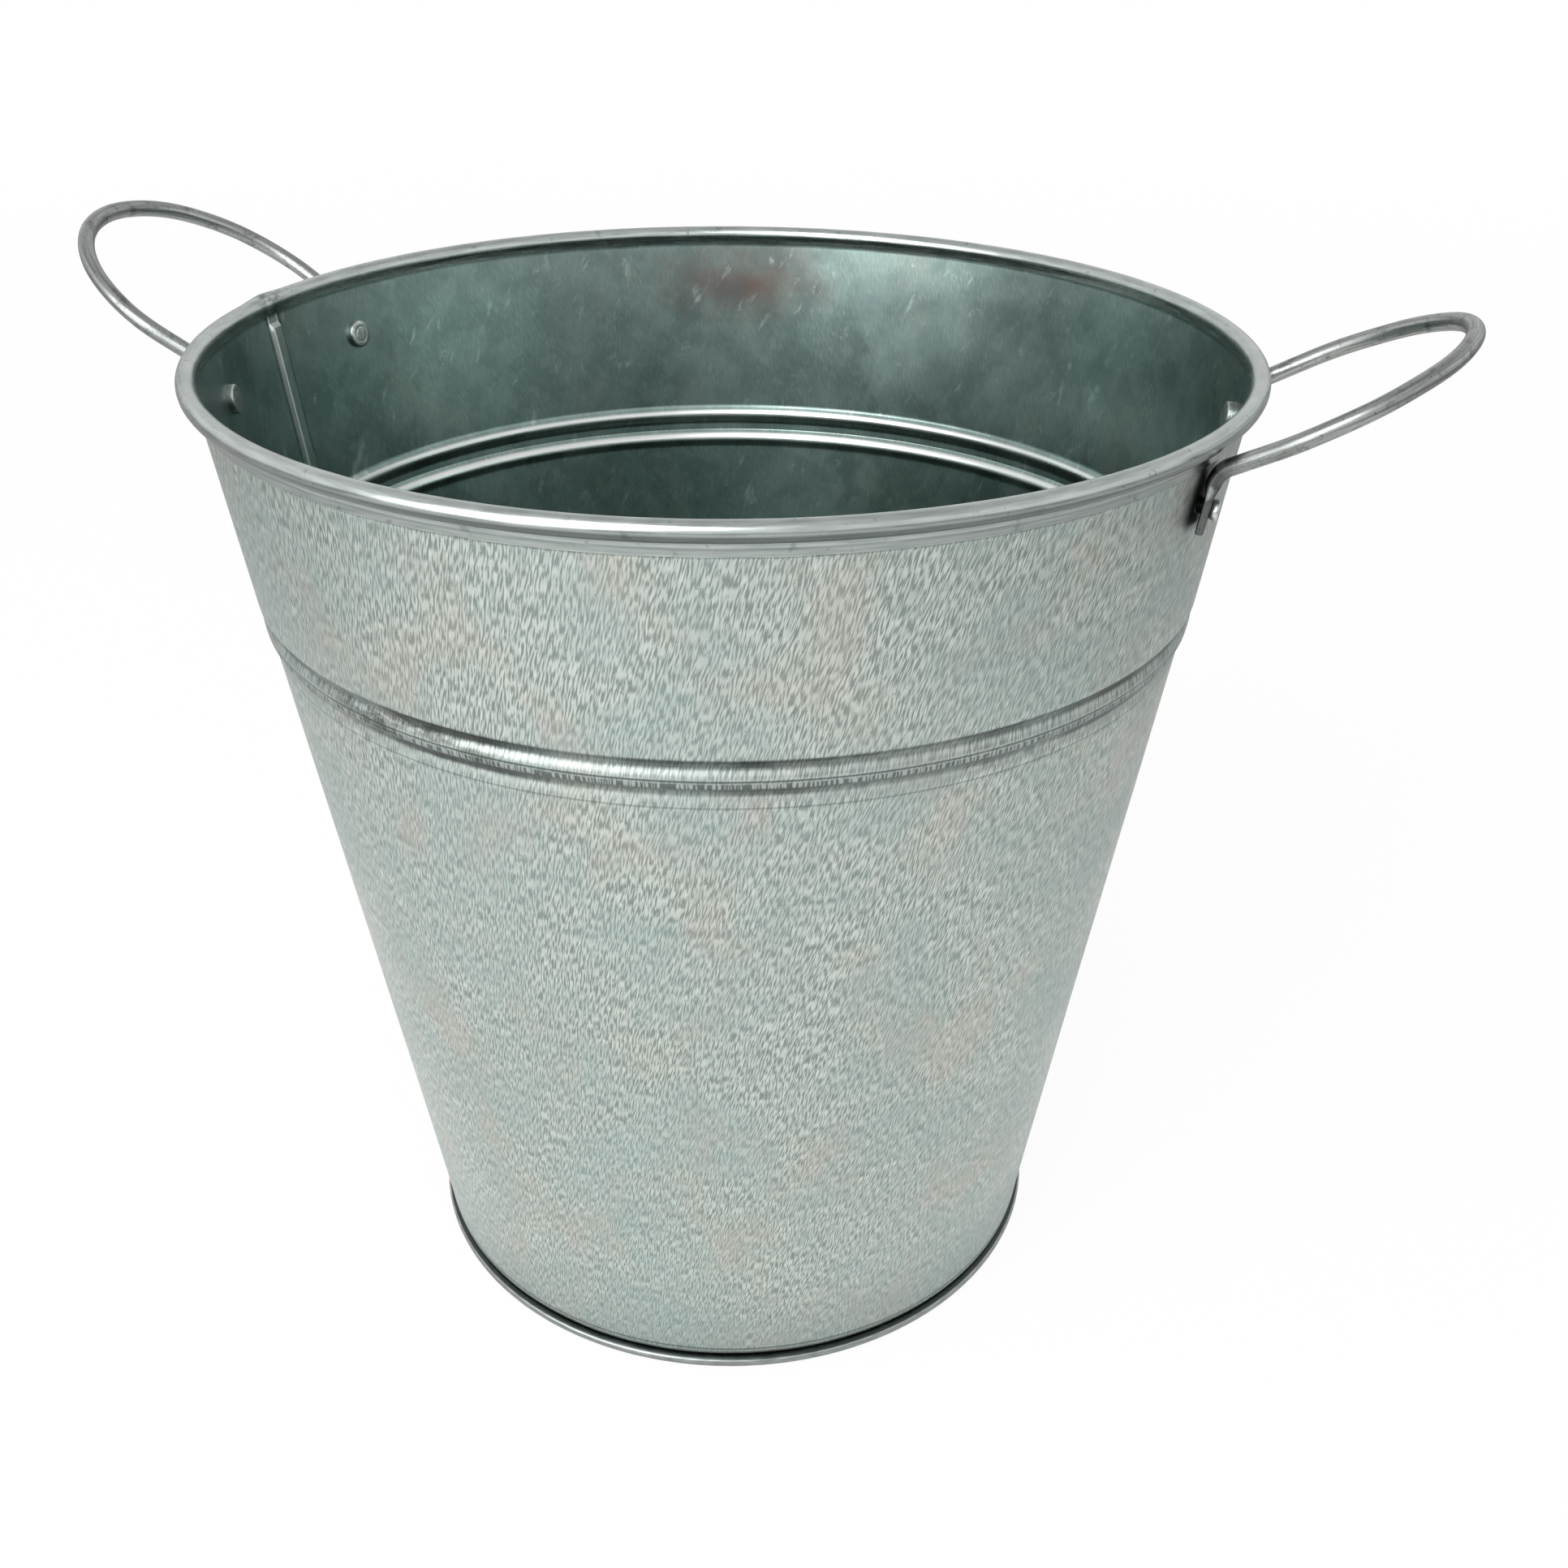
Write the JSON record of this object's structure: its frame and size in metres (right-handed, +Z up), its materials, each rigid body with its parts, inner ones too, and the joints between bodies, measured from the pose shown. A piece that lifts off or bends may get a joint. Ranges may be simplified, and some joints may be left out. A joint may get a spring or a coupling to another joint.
{
  "type": "florist bucket",
  "caption": "Tapered galvanised sheet-steel bucket with a rolled rim, rolled swages, a folded foot and riveted wire loop handles, for holding cut flowers in water.",
  "frame": {"origin": "on the bucket's upright axis, at the floor, below the middle of the bottom", "axes": "+Z up the bucket's axis, +X towards the right handle, with the wall's lock seam and the left handle on -X"},
  "size_m": [0.3745, 0.285, 0.313],
  "materials": {
    "zinc_sheet": "galvanised, streaked and mottled, satin",
    "bottom_sheet": "galvanised, dull satin",
    "rim_wire": "drawn steel wire, zinc coated",
    "handle_wire": "zinc coated wire, worn satin",
    "rivet": "zinc coated, satin",
    "seal": "cured sealing compound, matt"
  },
  "bodies": {
    "root": {"wall": "zinc_sheet", "rim_wire": "rim_wire", "bottom_plate": "bottom_sheet", "seam_seal": "seal", "handle_left": "handle_wire", "handle_right": "handle_wire", "rivet_left_front": "rivet", "rivet_left_back": "rivet", "rivet_right_front": "rivet", "rivet_right_back": "rivet"}
  },
  "joints": []
}
